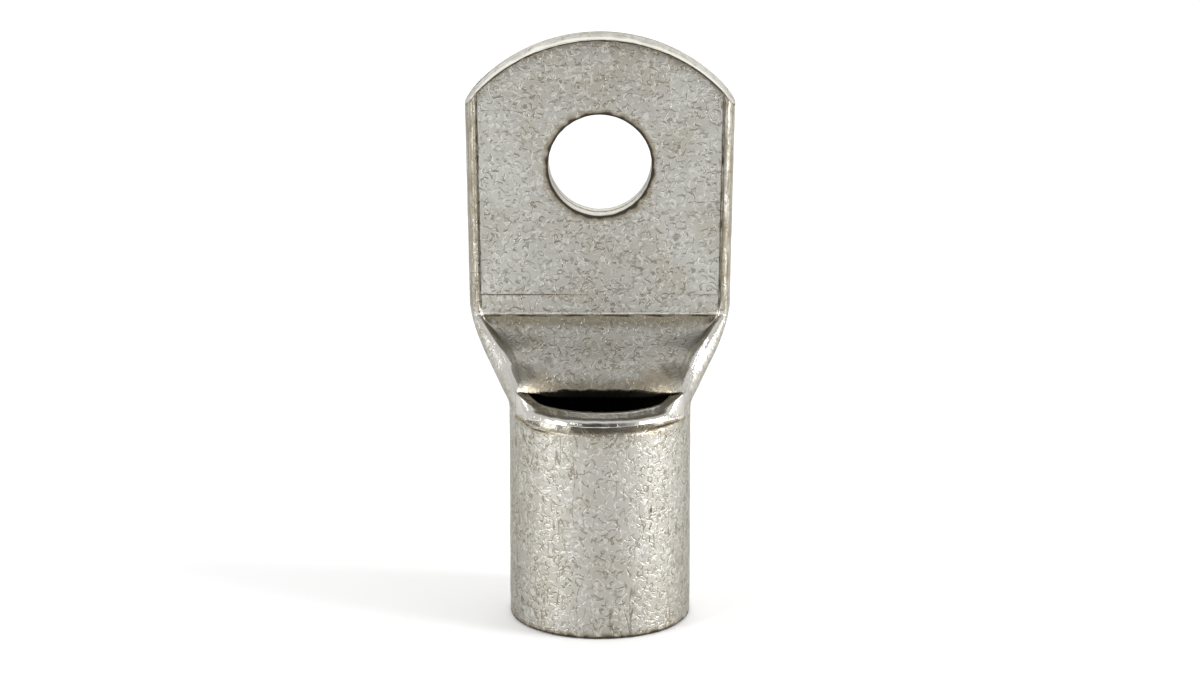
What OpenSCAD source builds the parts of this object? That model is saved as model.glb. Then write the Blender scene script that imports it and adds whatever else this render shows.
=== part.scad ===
// Tubular cable lug with an inspection slit, made from one length of copper tube.
// The barrel stays round. The palm is the same tube pressed flat into two layers,
// with a fold left proud down each side. Between them the neck flares out, and a
// cut across its front lets the sheet above it be pushed in as a sloping flap.
// The barrel's mouth is at z = 0, the axis is Z and the contact face is towards +Y.

/* [Tube] */
// Bore that takes the stripped conductor
bore_d = 15.5; // [14.5:0.1:16.5]
// Wall of the tube
wall_t = 2; // [1.8:0.05:2.2]
// Length of the round barrel, from its mouth to the neck
barrel_len = 22.2; // [18:0.2:30]
// Break on the edges of the barrel's mouth
mouth_break = 0.25; // [0.1:0.05:0.4]

/* [Palm] */
// Length of the pressed palm, from the press line to the top of its end
palm_len = 28.1; // [26:0.1:32]
// How much the pressing widens the palm between the press line and its shoulders
palm_spread = 0.65; // [0.2:0.05:1]
// Radius of the sheared round end, at the back face
end_r = 18.4; // [17:0.1:21]
// How much the sheared end leans in from the back face to the front face
end_draft = 0.3; // [0.1:0.05:0.5]
// Diameter of the stud hole
stud_d = 11; // [8.4:0.1:13]
// Distance from the centre of the stud hole to the top of the end
stud_to_end = 13.9; // [12:0.1:16]
// Break on the rims of the stud hole
rim_break = 0.1; // [0.05:0.05:0.3]
// Width of the fold at each side of the pressed face
fold_w = 1.3; // [1.1:0.05:1.6]
// Height of the side folds above the pressed face
fold_h = 0.4; // [0.2:0.05:0.6]
// Rounding of the palm's back corners
back_r = 1.6; // [1.2:0.1:1.9]

/* [Neck] */
// Height of the neck, from the barrel to the press line
neck_len = 11.7; // [11:0.1:14]
// Flat strip between the crease at the top of the flap and the press line
crease_gap = 2.2; // [1.6:0.1:2.8]
// Height of the flap's cut edge above the barrel
slit_up = 2.9; // [2.5:0.1:3.4]
// Width of the inspection slit between its tips
slit_w = 18; // [16.6:0.1:18.4]
// How much the slit rises from its middle to its tips
tip_rise = 0.5; // [0.2:0.1:0.8]
// How far the flap's cut edge is pushed in from the front of the tube
flap_push = 9; // [7.5:0.1:9.8]
// Rounding drawn into the lip below the slit
lip_r = 1; // [0.7:0.05:1.2]
// How far the lip's edge stands below the flap's edge
lip_drop = 0.5; // [0.3:0.05:0.8]
// Width of the rounded ridge at each side of the flap
ridge_w = 1.35; // [1.1:0.05:1.6]

/* [Hidden] */
$fn = 96;

// Tube
tube_r = bore_d / 2 + wall_t;
bore_r = bore_d / 2;
// Half the width of the tube pressed flat, with a half-round fold at each side
flat_hw = PI / 4 * (2 * tube_r - wall_t) + (1 - PI / 4) * wall_t;

// Depths through the palm: back face, seam between the layers, pressed face, crest of a fold
back_y = tube_r;
seam_y = tube_r - wall_t;
face_y = tube_r - 2 * wall_t;
crest_y = face_y - fold_h;
fold_mid_y = back_y - back_r - (back_y - back_r - crest_y) * 0.2;
crest_in = 0.75 * fold_w;

// Heights
slit_z = barrel_len + slit_up;
press_z = barrel_len + neck_len;
crease_z = press_z - crease_gap;
top_z = press_z + palm_len;
stud_z = top_z - stud_to_end;
end_z = top_z - end_r;
shoulder_hw = flat_hw + palm_spread / 2;
shoulder_z = end_z + sqrt(end_r * end_r - shoulder_hw * shoulder_hw);
spread_angle = atan2(palm_spread / 2, shoulder_z - press_z);

// The neck's ends sit this far inside the barrel's wall and the palm, and reach this far into them
seat = 0.03;
reach = 0.3;

// Flare of the neck's sides from the tube to the palm; under 1, the bias opens it early
flare_z0 = barrel_len + 0.8;
flare_z1 = press_z - 0.6;
flare_bias = 0.75;

// Columns of points from the back centre to the front centre, on each side
flat_n = 12;
corner_n = 7;
fold_n = 6;
flank_n = 5;
face_n = flat_n + corner_n + 1 - fold_n - flank_n;
quarter_n = flat_n + corner_n + 1;
half_n = 2 * quarter_n;
ring_n = 2 * half_n;
tip_j = half_n - face_n;

// Rows of points: up the lip's rounding, its inner face, the flap, and the strip above the crease
lip_n = 4;
lip_in_n = 2;
flap_n = 9;
strip_n = 2;

// Angles round the tube, from the back, of the slit's tips and of the ridges where they leave the tube
ridge_root = 1.35 * ridge_w;
tip_a = 180 - asin(slit_w / 2 / tube_r);
foot_a = tip_a - asin(ridge_root / tube_r);

// The lip's rounding is lip_rise high, and its cut face leans up by lip_lean from there to the bore
lip_rise = 0.95 * lip_r;
lip_lean = 0.45;
lip_z0 = slit_z - lip_drop - lip_lean - lip_rise;

// The flap: depth of its cut edge, slope from the vertical and how square its trough is
edge_y = flap_push - tube_r;
flap_lean = atan2(face_y - edge_y, crease_z - slit_z);
trough_power = 2.6;

// The ridges climb late, and the slit turns up close to its tips
climb_power = 1.35;
tip_power = 3;

// Each ridge takes shape by ridge_begin of its climb and narrows to a side fold from fold_begin on.
// Its nose and the foot of its inner side stand off its crest by these, in ridge widths.
ridge_begin = 0.4;
fold_begin = 0.55;
nose_low = [-0.4, -0.7];
nose_high = [-0.3, 0];
foot_low = [-1, 0.25];

// The sheet's thickness across the flap, as a step back and a drop
sheet_step = wall_t * cos(flap_lean);
sheet_drop = wall_t * sin(flap_lean);

// Angle round the bore of the slit's tips, one sheet_step further back than outside
bore_tip_a = acos(cos(tip_a) + sheet_step / bore_r);

// The cavity starts at cavity_z and narrows to layer_gap between the two layers, and the folds are solid.
// Its front is foot_in narrower than the flap, and corner_in narrower than its back.
cavity_z = slit_z - 0.2;
layer_gap = 0.06;
cavity_hw = flat_hw - wall_t - 0.4;
foot_in = 0.75 * wall_t;
corner_in = 0.6;

function mix(a, b, t) = a + (b - a) * t;
function clamp(t) = min(max(t, 0), 1);
function ease(t) = let (c = clamp(t)) c * c * (3 - 2 * c);
function bezier(a, b, c, t) = mix(mix(a, b, t), mix(b, c, t), t);
function tube_point(r, a) = [r * sin(a), r * cos(a)];

// How far the neck has opened at height z, from 0 on the barrel to 1 where it is pressed flat
function opened(z, z1) = ease(pow(clamp((z - flare_z0) / (z1 - flare_z0)), flare_bias));

// Half outline of the pressed palm from the back centre to the front centre, drawn in by d all round
function palm_half(hw, d) =
    let (
        w = hw - d,
        r = back_r - d,
        cx = w - r,
        flank_x = hw - fold_w + d,
        crest_x = hw - crest_in
    )
    [
        for (j = [0 : flat_n - 1]) [cx * j / flat_n, back_y - d],
        for (j = [0 : corner_n]) let (a = 90 * j / corner_n) [cx + r * sin(a), back_y - d - r + r * cos(a)],
        for (j = [0 : fold_n])
            let (a = 90 * j / fold_n)
            [mix(crest_x, w, cos(a)), mix(fold_mid_y, crest_y + d, sin(a))],
        for (j = [1 : flank_n])
            let (t = j / flank_n)
            [mix(crest_x, flank_x, t), mix(crest_y + d, face_y + d, ease(t))],
        for (j = [1 : face_n]) [flank_x * (1 - j / face_n), face_y + d]
    ];

// The same outline as the neck's upper end sees it, inside the palm
neck_top = palm_half(flat_hw, seat);

// Angle of column j round the outside of the tube, and round its bore
function column_angle(j) =
    j <= quarter_n ? 90 * j / quarter_n :
    j <= quarter_n + fold_n ? mix(90, foot_a, (j - quarter_n) / fold_n) :
    j <= tip_j ? mix(foot_a, tip_a, (j - quarter_n - fold_n) / flank_n) :
    mix(tip_a, 180, (j - tip_j) / face_n);

function bore_angle(j) =
    j <= quarter_n ? 90 * j / quarter_n :
    j <= tip_j ? mix(90, bore_tip_a, (j - quarter_n) / (tip_j - quarter_n)) :
    mix(bore_tip_a, 180, (j - tip_j) / face_n);

// Depth of the flap's middle at height z
function trough_y(z) = mix(edge_y, face_y, climb(z));

// Crest of the ridge, the nose it is rounded round, and the foot of its inner side, at height z
function climb(z) = clamp((z - slit_z) / (crease_z - slit_z));
function to_fold(q) = ease((q - fold_begin) / (1 - fold_begin));
function ridge_crest(z, w) =
    let (start = tube_point(tube_r, foot_a), q = climb(z))
    [mix(start[0], w - crest_in, q), mix(start[1], crest_y, pow(q, climb_power))];
function ridge_nose(z, k) =
    let (q = climb(z))
    mix(
        tube_point(tube_r + seat, (foot_a + tip_a) / 2),
        k + mix(nose_low, nose_high, to_fold(q)) * ridge_w,
        ease(q / ridge_begin)
    );
function ridge_foot(z, k, w) =
    let (q = climb(z))
    mix(
        mix(tube_point(tube_r, tip_a), k + foot_low * ridge_w, ease(q / ridge_begin)),
        [w - fold_w, face_y],
        to_fold(q)
    );

// Half outline of the neck above the slit, as [x, y] from the back centre to the front centre
function neck_half(z) =
    let (
        m = opened(z, flare_z1),
        back = [for (j = [0 : quarter_n]) mix(tube_point(tube_r - seat, column_angle(j)), neck_top[j], m)],
        side = back[quarter_n],
        k = ridge_crest(z, side[0]),
        nose = ridge_nose(z, k),
        foot = ridge_foot(z, k, side[0]),
        bend = [side[0], mix((side[1] + k[1]) / 2, k[1], climb(z))],
        yc = trough_y(z),
        press = ease((z - crease_z) / crease_gap),
        front = [
            for (j = [1 : fold_n]) bezier(side, bend, k, j / fold_n),
            for (j = [1 : flank_n]) bezier(k, nose, foot, j / flank_n),
            for (j = [1 : face_n])
                let (s = 1 - j / face_n)
                [foot[0] * s, yc - (yc - foot[1]) * pow(s, trough_power)]
        ]
    )
    [
        for (p = back) p,
        for (j = [1 : quarter_n]) mix(front[j - 1], neck_top[quarter_n + j], press)
    ];

// Depth of the flap at height z, where s runs from 0 at its middle to 1 at the foot of the ridge
function flap_y(z, s) =
    let (foot = neck_half(z)[tip_j], yc = trough_y(z))
    yc - (yc - foot[1]) * pow(s, trough_power);

// Half outline of the cavity at height z. Under the flap it is the outside moved square to the flap's slope
// by the wall, so it takes the outside from sheet_drop higher up.
function cavity_half(z) =
    let (
        m = opened(z, crease_z),
        back = [
            for (j = [0 : quarter_n])
                mix(tube_point(bore_r + seat, bore_angle(j)), [cavity_hw * j / quarter_n, seam_y + seat], m)
        ],
        side = back[quarter_n],
        upper = z + sheet_drop,
        foot_x = neck_half(upper)[tip_j][0],
        narrow = 1 - foot_in / foot_x,
        step_y = mix(sheet_step, wall_t, clamp((upper - crease_z) / sheet_drop)),
        flap = [
            for (j = [0 : face_n])
                let (s = 1 - j / face_n)
                [
                    min(foot_x * narrow, cavity_hw - corner_in) * s,
                    min(flap_y(upper, s * narrow) + step_y, seam_y + seat - layer_gap)
                ]
        ],
        bend = [side[0], mix(side[1], flap[0][1], 0.7)]
    )
    [
        for (p = back) p,
        for (j = [1 : fold_n + flank_n - 1]) bezier(side, bend, flap[0], j / (fold_n + flank_n)),
        for (p = flap) p
    ];

// Half ring of the cavity along the slit: the bore wall outside the slit, the cut face's inner edge along it
function cavity_edge() =
    let (
        side = cavity_half(cavity_z),
        bore = [for (j = [0 : tip_j]) tube_point(bore_r + seat, bore_angle(j))],
        tip = bore[tip_j],
        outer_x = skin_row(0)[tip_j][0]
    )
    [
        for (j = [0 : quarter_n]) [side[j][0], side[j][1], cavity_z],
        for (j = [quarter_n + 1 : tip_j])
            let (p = bore[j] + (side[quarter_n] - bore[quarter_n]) * (tip_j - j) / (tip_j - quarter_n))
            [p[0], p[1], cavity_z],
        for (j = [tip_j + 1 : half_n])
            let (
                s = 1 - (j - tip_j) / face_n,
                q = s * tip[0] / outer_x,
                z = slit_z + tip_rise * pow(q, tip_power),
                held = pow(s, 3)
            )
            [tip[0] * s, mix(flap_y(z, q) + sheet_step, tip[1], held), mix(z - sheet_drop, cavity_z, held)]
    ];

// Height of column j along the slit: level at the back, up to the tips, and level again between them
function edge_z(j) =
    slit_z + tip_rise * (
        j < tip_j
            ? ease((j - quarter_n) / (tip_j - quarter_n))
            : pow(1 - (j - tip_j) / face_n, tip_power)
    );

// Half ring of the outside that follows the slit at t = 0 and is level at the crease, t = 1
function skin_row(t) =
    [for (j = [0 : half_n]) let (z = mix(edge_z(j), crease_z, t), p = neck_half(z)[j]) [p[0], p[1], z]];

// A full ring of ring_n points from a half outline, with z added where it is flat
function whole_ring(half, z) =
    [
        for (j = [0 : ring_n - 1])
            let (p = j <= half_n ? half[j] : half[ring_n - j], side = j <= half_n ? 1 : -1)
            [side * p[0], p[1], is_undef(z) ? p[2] : z]
    ];

function tube_ring(r, z) = whole_ring([for (j = [0 : half_n]) tube_point(r, column_angle(j))], z);

// How far a column is into the lip, from 0 at the slit's tip to 1 along most of it
function lip_share(j) = ease((j - tip_j) / (face_n / 3));

// Ring k of the outside below the slit: the lip's rounding in front, the opening neck elsewhere
function lip_ring(k) =
    let (a = 90 * k / lip_n, t = k / lip_n)
    whole_ring([
        for (j = [0 : half_n])
            let (
                into = lip_share(j),
                z = mix(lip_z0, edge_z(min(j, tip_j)), t),
                r = tube_r - seat - lip_r * (1 - cos(a)) * into,
                p = j <= tip_j ? neck_half(z)[j] : tube_point(r, column_angle(j))
            )
            [p[0], p[1], mix(z, lip_z0 + lip_rise * sin(a), into)]
    ]);

// Ring k of the bore side below the slit, ending at the lip's inner edge
function lip_inner_ring(k) =
    let (edge = cavity_edge(), t = k / lip_in_n)
    whole_ring([
        for (j = [0 : half_n])
            let (
                p = tube_point(bore_r + seat, bore_angle(j)),
                lip = [p[0], p[1], mix(cavity_z, slit_z - lip_drop, lip_share(j))]
            )
            mix([p[0], p[1], lip_z0], j <= tip_j ? edge[j] : lip, t)
    ]);

flap_t = [for (k = [0 : flap_n]) k / flap_n];
cavity_level = concat(
    [for (k = [1 : flap_n]) mix(cavity_z, crease_z, k / flap_n)],
    [mix(crease_z, press_z, 0.5)]
);
strip_z = [for (k = [1 : strip_n]) mix(crease_z, press_z, k / strip_n)];
outer_low = concat(
    [for (z = [barrel_len - reach, barrel_len + reach]) tube_ring(tube_r - seat, z)],
    [for (k = [0 : lip_n]) lip_ring(k)]
);
outer_high = [
    for (t = flap_t) whole_ring(skin_row(t)),
    for (z = strip_z) whole_ring(neck_half(z), z),
    whole_ring(neck_top, press_z + reach)
];
inner_low = concat(
    [whole_ring([for (j = [0 : half_n]) tube_point(bore_r + seat, bore_angle(j))], barrel_len - reach)],
    [for (k = [0 : lip_in_n]) lip_inner_ring(k)]
);
inner_high = [
    whole_ring(cavity_edge()),
    for (z = cavity_level) whole_ring(cavity_half(z), z)
];

// Number of the point in column j of row i of each skin; the skins share the slit's row outside the slit
function cut(j) = abs(j - half_n) < face_n;
function col(j) = (j + ring_n) % ring_n;
function out_low(i, j) = i * ring_n + col(j);
function out_high(i, j) =
    i == 0 && !cut(col(j)) ? out_low(len(outer_low) - 1, j) : (len(outer_low) + i) * ring_n + col(j);
in_base = len(outer_low) + len(outer_high);
function in_low(i, j) = (in_base + i) * ring_n + col(j);
function in_high(i, j) =
    i == 0 && !cut(col(j)) ? in_low(len(inner_low) - 1, j) : (in_base + len(inner_low) + i) * ring_n + col(j);

// Two triangles for the four-sided patch a b c d, seen clockwise from outside
function patch(a, b, c, d) = [[a, b, c], [a, c, d]];

module neck() {
    top = len(outer_high) - 1;
    roof = len(inner_high) - 1;
    lip = len(outer_low) - 1;
    sill = len(inner_low) - 1;
    rings = concat(outer_low, outer_high, inner_low, inner_high);
    across = [for (j = [0 : quarter_n - 1]) [j, j + 1, half_n - j - 1, half_n - j]];
    faces = [
        for (j = [0 : ring_n - 1]) each [
            for (i = [0 : lip - 1])
                each patch(out_low(i, j), out_low(i, j + 1), out_low(i + 1, j + 1), out_low(i + 1, j)),
            for (i = [0 : top - 1])
                each patch(out_high(i, j), out_high(i, j + 1), out_high(i + 1, j + 1), out_high(i + 1, j)),
            for (i = [0 : sill - 1])
                each patch(in_low(i + 1, j), in_low(i + 1, j + 1), in_low(i, j + 1), in_low(i, j)),
            for (i = [0 : roof - 1])
                each patch(in_high(i + 1, j), in_high(i + 1, j + 1), in_high(i, j + 1), in_high(i, j)),
            each patch(in_low(0, j), in_low(0, j + 1), out_low(0, j + 1), out_low(0, j))
        ],
        for (j = [tip_j : half_n + face_n - 1]) each [
            each patch(out_low(lip, j), out_low(lip, j + 1), in_low(sill, j + 1), in_low(sill, j)),
            each patch(in_high(0, j), in_high(0, j + 1), out_high(0, j + 1), out_high(0, j))
        ],
        for (q = across, side = [q, [for (k = [3 : -1 : 0]) -q[k]]])
            let (above = [for (j = side) out_high(top, j)], below = [for (j = side) in_high(roof, j)])
            each concat(
                patch(above[0], above[1], above[2], above[3]),
                patch(below[3], below[2], below[1], below[0])
            )
    ];
    polyhedron(
        points = [for (r = rings) each r],
        faces = [for (f = faces) if (f[0] != f[1] && f[1] != f[2] && f[0] != f[2]) f],
        convexity = 8
    );
}

module barrel() {
    rotate_extrude()
        polygon([
            [bore_r + mouth_break, 0],
            [tube_r - mouth_break, 0],
            [tube_r, mouth_break],
            [tube_r, barrel_len],
            [bore_r, barrel_len],
            [bore_r, mouth_break]
        ]);
}

// One side of the pressed strip, reaching past the middle so that the two sides overlap
module palm_side() {
    overlap = 1;
    rotate([0, spread_angle, 0])
        translate([0, 0, -overlap])
            linear_extrude(palm_len + 2 * overlap)
                polygon(concat(
                    [[-overlap, face_y], [-overlap, back_y]],
                    palm_half(flat_hw, 0)
                ));
}

module palm() {
    margin = 1;
    depth = back_y - crest_y;
    difference() {
        intersection() {
            translate([0, 0, press_z])
                union() {
                    palm_side();
                    mirror([1, 0, 0]) palm_side();
                }
            translate([-end_r, crest_y - margin, press_z])
                cube([2 * end_r, depth + 2 * margin, palm_len + margin]);
            translate([0, back_y, end_z])
                rotate([90, 0, 0])
                    cylinder(r1 = end_r, r2 = end_r - end_draft, h = depth);
        }
        translate([0, back_y + margin, stud_z])
            rotate([90, 0, 0])
                cylinder(d = stud_d, h = depth + 2 * margin);
        for (rim = [[face_y, 1], [back_y, -1]])
            translate([0, rim[0], stud_z])
                rotate([90, 0, 0])
                    cylinder(
                        d1 = stud_d + (1 - rim[1]) * 2 * rim_break,
                        d2 = stud_d + (1 + rim[1]) * 2 * rim_break,
                        h = 2 * rim_break,
                        center = true
                    );
    }
}

module cable_lug() {
    color([0.73, 0.71, 0.67])
        union() {
            barrel();
            neck();
            palm();
        }
}

cable_lug();
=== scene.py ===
import math

import bpy
import numpy as np
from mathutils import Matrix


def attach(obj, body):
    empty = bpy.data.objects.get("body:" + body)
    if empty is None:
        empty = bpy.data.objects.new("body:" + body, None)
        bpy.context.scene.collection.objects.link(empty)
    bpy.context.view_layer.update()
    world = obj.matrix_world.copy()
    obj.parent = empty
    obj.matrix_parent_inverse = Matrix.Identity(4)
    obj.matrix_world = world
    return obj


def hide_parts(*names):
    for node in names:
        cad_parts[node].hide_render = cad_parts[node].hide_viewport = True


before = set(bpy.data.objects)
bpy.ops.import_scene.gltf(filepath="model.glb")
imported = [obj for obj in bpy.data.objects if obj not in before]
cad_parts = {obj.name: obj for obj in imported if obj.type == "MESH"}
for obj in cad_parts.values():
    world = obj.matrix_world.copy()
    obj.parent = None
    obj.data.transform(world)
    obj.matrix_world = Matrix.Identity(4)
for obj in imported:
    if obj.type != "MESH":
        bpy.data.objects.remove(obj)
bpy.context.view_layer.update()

# Sizes of the lug in millimetres; the barrel's mouth is at z 0 and the contact face is towards +Y
BORE_R, WALL, BARREL_LEN = 7.75, 2.0, 22.2
TUBE_R = BORE_R + WALL
BACK_Y, SEAM_Y, FACE_Y = TUBE_R, TUBE_R - WALL, TUBE_R - 2 * WALL
FLAT_HW = math.pi / 4 * (2 * TUBE_R - WALL) + (1 - math.pi / 4) * WALL
PALM_LEN, PALM_SPREAD, END_R, END_DRAFT = 28.1, 0.65, 18.4, 0.3
FOLD_W, FOLD_H, BACK_R = 1.3, 0.4, 1.6
STUD_R, STUD_TO_END = 5.5, 13.9
SLIT_Z, PRESS_Z = BARREL_LEN + 2.9, BARREL_LEN + 11.7
CREASE_Z, TOP_Z = PRESS_Z - 2.2, PRESS_Z + PALM_LEN
STUD_Z, END_Z = TOP_Z - STUD_TO_END, TOP_Z - END_R
CREST_Y = FACE_Y - FOLD_H
CREST_X = FLAT_HW - 0.75 * FOLD_W
SIDE_Y = BACK_Y - BACK_R - (BACK_Y - BACK_R - CREST_Y) * 0.2
SHOULDER_HW = FLAT_HW + PALM_SPREAD / 2
SHOULDER_Z = END_Z + math.sqrt(END_R ** 2 - SHOULDER_HW ** 2)
SPREAD = (PALM_SPREAD / 2) / (SHOULDER_Z - PRESS_Z)
SLIT_HW, RIDGE_W, TIP_RISE = 9.0, 1.35, 0.5
TIP_A = math.pi - math.asin(SLIT_HW / TUBE_R)
ROOT_A = TIP_A - math.asin(1.35 * RIDGE_W / TUBE_R)
EDGE_Y = 9.0 - TUBE_R
LIP_R, LIP_DROP, LIP_LEAN = 1.0, 0.5, 0.45
LIP_Z = SLIT_Z - LIP_DROP - LIP_LEAN - 0.95 * LIP_R

# Columns of points round half the lug, from the back's middle to the front's middle
FLAT_N, CORNER_N, FOLD_N, FLANK_N, FACE_N = 50, 24, 12, 12, 50
QUARTER_N = FLAT_N + CORNER_N
HALF_N = 2 * QUARTER_N
TIP_J = HALF_N - FACE_N
FLAT, CORNER = slice(0, FLAT_N), slice(FLAT_N, QUARTER_N)
FOLD, FLANK = slice(QUARTER_N, QUARTER_N + FOLD_N), slice(QUARTER_N + FOLD_N, TIP_J)
FACE = slice(TIP_J, HALF_N + 1)
COLUMN = np.arange(HALF_N + 1)
T_FLAT, T_CORNER = np.arange(FLAT_N) / FLAT_N, np.arange(CORNER_N) / CORNER_N
T_FOLD, T_FLANK = np.arange(FOLD_N) / FOLD_N, np.arange(FLANK_N) / FLANK_N
T_FACE = np.arange(FACE_N + 1) / FACE_N
HOLE_J = 24

# Powers of the curves: trough outside, trough over the hollow, lip
TROUGH, HOLLOW_TROUGH, LIP_FULL = 3.6, 2.6, 0.72
# Heights between which the tube opens out, outside
OPEN_Z, FLAT_Z = BARREL_LEN + 0.8, PRESS_Z - 0.6
# Hollow behind the flap: how far it lies below the outside, its half width and where it starts
DROP, CAVITY_HW, CAVITY_Z = WALL * 0.7, FLAT_HW - WALL - 0.4, SLIT_Z - 0.2
# Mouth's rounding, and the place of the line between the palm's layers in the hole
MOUTH_R, LAYERS_Y = 0.25, 8.1
# Square of level rows that the stud hole is set in
HOLE_LOW, HOLE_HIGH = STUD_Z - 6.2, STUD_Z + 6.2
# Rows above the crease, and rows below the sheared edge, closer where the shape turns
STRIP = np.array([0.03, 0.08, 0.15, 0.25, 0.4, 0.6, 0.9, 1.2, 1.5, 1.8, 2.0, 2.1, 2.15, 2.2, 2.25, 2.3, 2.4])
END_STEPS = np.array([0.9, 0.65, 0.48, 0.36, 0.27, 0.2, 0.14, 0.09, 0.05, 0.02, 0.0])

# Sizes of wear and pressing: wave and jags of the side folds, crevice beside them, roll of the face to an
# edge, bow of the flap, burr, and hand wear
FOLD_WAVE, FOLD_JAG, CREVICE, ROLL, BOW, BURR, WORN = 0.07, 0.03, 0.10, 0.13, 0.36, 0.13, 0.035
# Heights above which the folds' marks and the sheared end's marks come in
FOLD_MARK_Z, END_MARK_Z = 31.0, 50.0
# Painted highlights on the flap as middle and half width across; painted shades in its lower corners also
# have their strength, middle height and half
FLAP_HIGHLIGHTS = ((-7.4, 1.6), (6.6, 2.2))
FLAP_SHADES = ((0.45, -6.7, 1.7, 26.2, 0.8), (0.5, 6.3, 2.2, 26.4, 0.85))
# Crack down the barrel: middle across, middle height, half length where it starts to fade and where it ends
CRACK_X, CRACK_Z, CRACK_HALF, CRACK_END = 5.3, 11.7, 2.2, 2.9

# Colours of the tin: bare, towards the sides, warm clouds, strokes, specks, burnished, tarnish and dirt; the
# burnished colour also serves as painted highlight, and tarnish and dirt also as painted shade
BARE, BARE_SIDE, CLOUD = (0.435, 0.425, 0.385, 1), (0.51, 0.505, 0.47, 1), (0.37, 0.345, 0.285, 1)
LIGHT_STROKE, DARK_STROKE = (0.66, 0.655, 0.62, 1), (0.17, 0.135, 0.085, 1)
SPECK, BURNISHED_AND_HIGHLIGHT = (0.10, 0.07, 0.04, 1), (0.66, 0.64, 0.60, 1)
TARNISH_AND_SHADE, DIRT_AND_SHADE = (0.24, 0.20, 0.13, 1), (0.018, 0.014, 0.010, 1)
# Sets of curly strokes: pitch, radius, width, length and shift
DARK_CURLS = (
    (0.95, 0.5, 0.09, 0.55, (0, 0, 0)),
    (0.85, 0.38, 0.08, 0.5, (17, 3, 8)),
    (1.1, 0.8, 0.09, 0.65, (5, 29, 13)),
)
LIGHT_CURLS = (
    (0.9, 0.45, 0.10, 0.55, (9, 41, 2)),
    (0.8, 0.36, 0.09, 0.48, (33, 7, 19)),
    (1.05, 0.7, 0.10, 0.65, (2, 12, 51)),
)

# Studio, in metres: half the floor, the height that lights aim at, the room's level, and areas of it that are
# dimmer or brighter, each as azimuth, height, reach, core and level
FLOOR_HALF, LUG_MIDDLE, ROOM = 3.0, 0.03, 0.88
PATCHES = ((0, 24, 54, 5, 0.08), (0, 90, 35, 5, 1.15))


def mix(a, b, t):
    """Straight blend from a to b."""
    return a + (b - a) * t


def ease(t):
    """Smooth step: 3t^2 - 2t^3 of t held between 0 and 1."""
    c = np.clip(t, 0, 1)
    return c * c * (3 - 2 * c)


def bezier(a, b, c, t):
    """Curve from a to c pulled towards b: a blend of the blends a to b and b to c."""
    return mix(mix(a, b, t), mix(b, c, t), t)


def ripple(x, seed, pitch):
    """Smooth random wave from -1 to 1: the mean of six sines of random phase.

    Their pitches lie round the given one.
    """
    rng = np.random.default_rng(seed)
    k = 2 * math.pi / (pitch * rng.uniform(0.6, 1.8, 6))
    return np.mean([np.sin(x * k[i] + rng.uniform(0, 6.3)) for i in range(6)], axis=0) * 1.8


def palm_outline():
    """Half outline of the pressed palm.

    Flat back, rounded corner, half-round fold up to its crest, then the drop to the face.
    """
    x, y = np.zeros(HALF_N + 1), np.zeros(HALF_N + 1)
    cx = FLAT_HW - BACK_R
    x[FLAT], y[FLAT] = cx * T_FLAT, BACK_Y
    a = np.minimum(T_CORNER * 1.12, 1) * math.pi / 2
    x[CORNER], y[CORNER] = cx + BACK_R * np.sin(a), BACK_Y - BACK_R + BACK_R * np.cos(a)
    straight = np.clip((T_CORNER - 1 / 1.12) / (1 - 1 / 1.12), 0, 1)
    y[CORNER] = mix(y[CORNER], SIDE_Y, straight)
    a = T_FOLD * math.pi / 2
    x[FOLD], y[FOLD] = mix(CREST_X, FLAT_HW, np.cos(a)), mix(SIDE_Y, CREST_Y, np.sin(a))
    x[FLANK], y[FLANK] = mix(CREST_X, FLAT_HW - FOLD_W, T_FLANK), mix(CREST_Y, FACE_Y, ease(T_FLANK))
    x[FACE], y[FACE] = (FLAT_HW - FOLD_W) * (1 - T_FACE), FACE_Y
    return x, y


def column_angles():
    """Angle round the tube of each column.

    Spread so that the ridges and the slit start on columns of their own.
    """
    a = np.zeros(HALF_N + 1)
    a[:QUARTER_N] = COLUMN[:QUARTER_N] / QUARTER_N * math.pi / 2
    a[FOLD] = mix(math.pi / 2, ROOT_A, T_FOLD)
    a[FLANK] = mix(ROOT_A, TIP_A, T_FLANK)
    a[FACE] = mix(TIP_A, math.pi, T_FACE)
    return a


PALM_X, PALM_Y = palm_outline()
ANGLE = column_angles()


def opened(z, z0, z1):
    """0 on the round barrel to 1 where it is flat.

    A smooth step of height to the power 0.75, so that it opens early.
    """
    return ease(np.clip((z - z0) / (z1 - z0), 0, 1) ** 0.75)


def climb(z):
    """How far up the flap a height is: 0 at the slit, 1 at the crease."""
    return np.clip((z - SLIT_Z) / (CREASE_Z - SLIT_Z), 0, 1)


def to_fold(q):
    """How far a ridge has turned into the palm's side fold, as a smooth step over the flap's upper part."""
    return ease((q - 0.55) / 0.45)


def flap_middle(z):
    """Depth of the flap's middle: a straight slope from the cut edge to the crease."""
    return mix(EDGE_Y, FACE_Y, climb(z))


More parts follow.
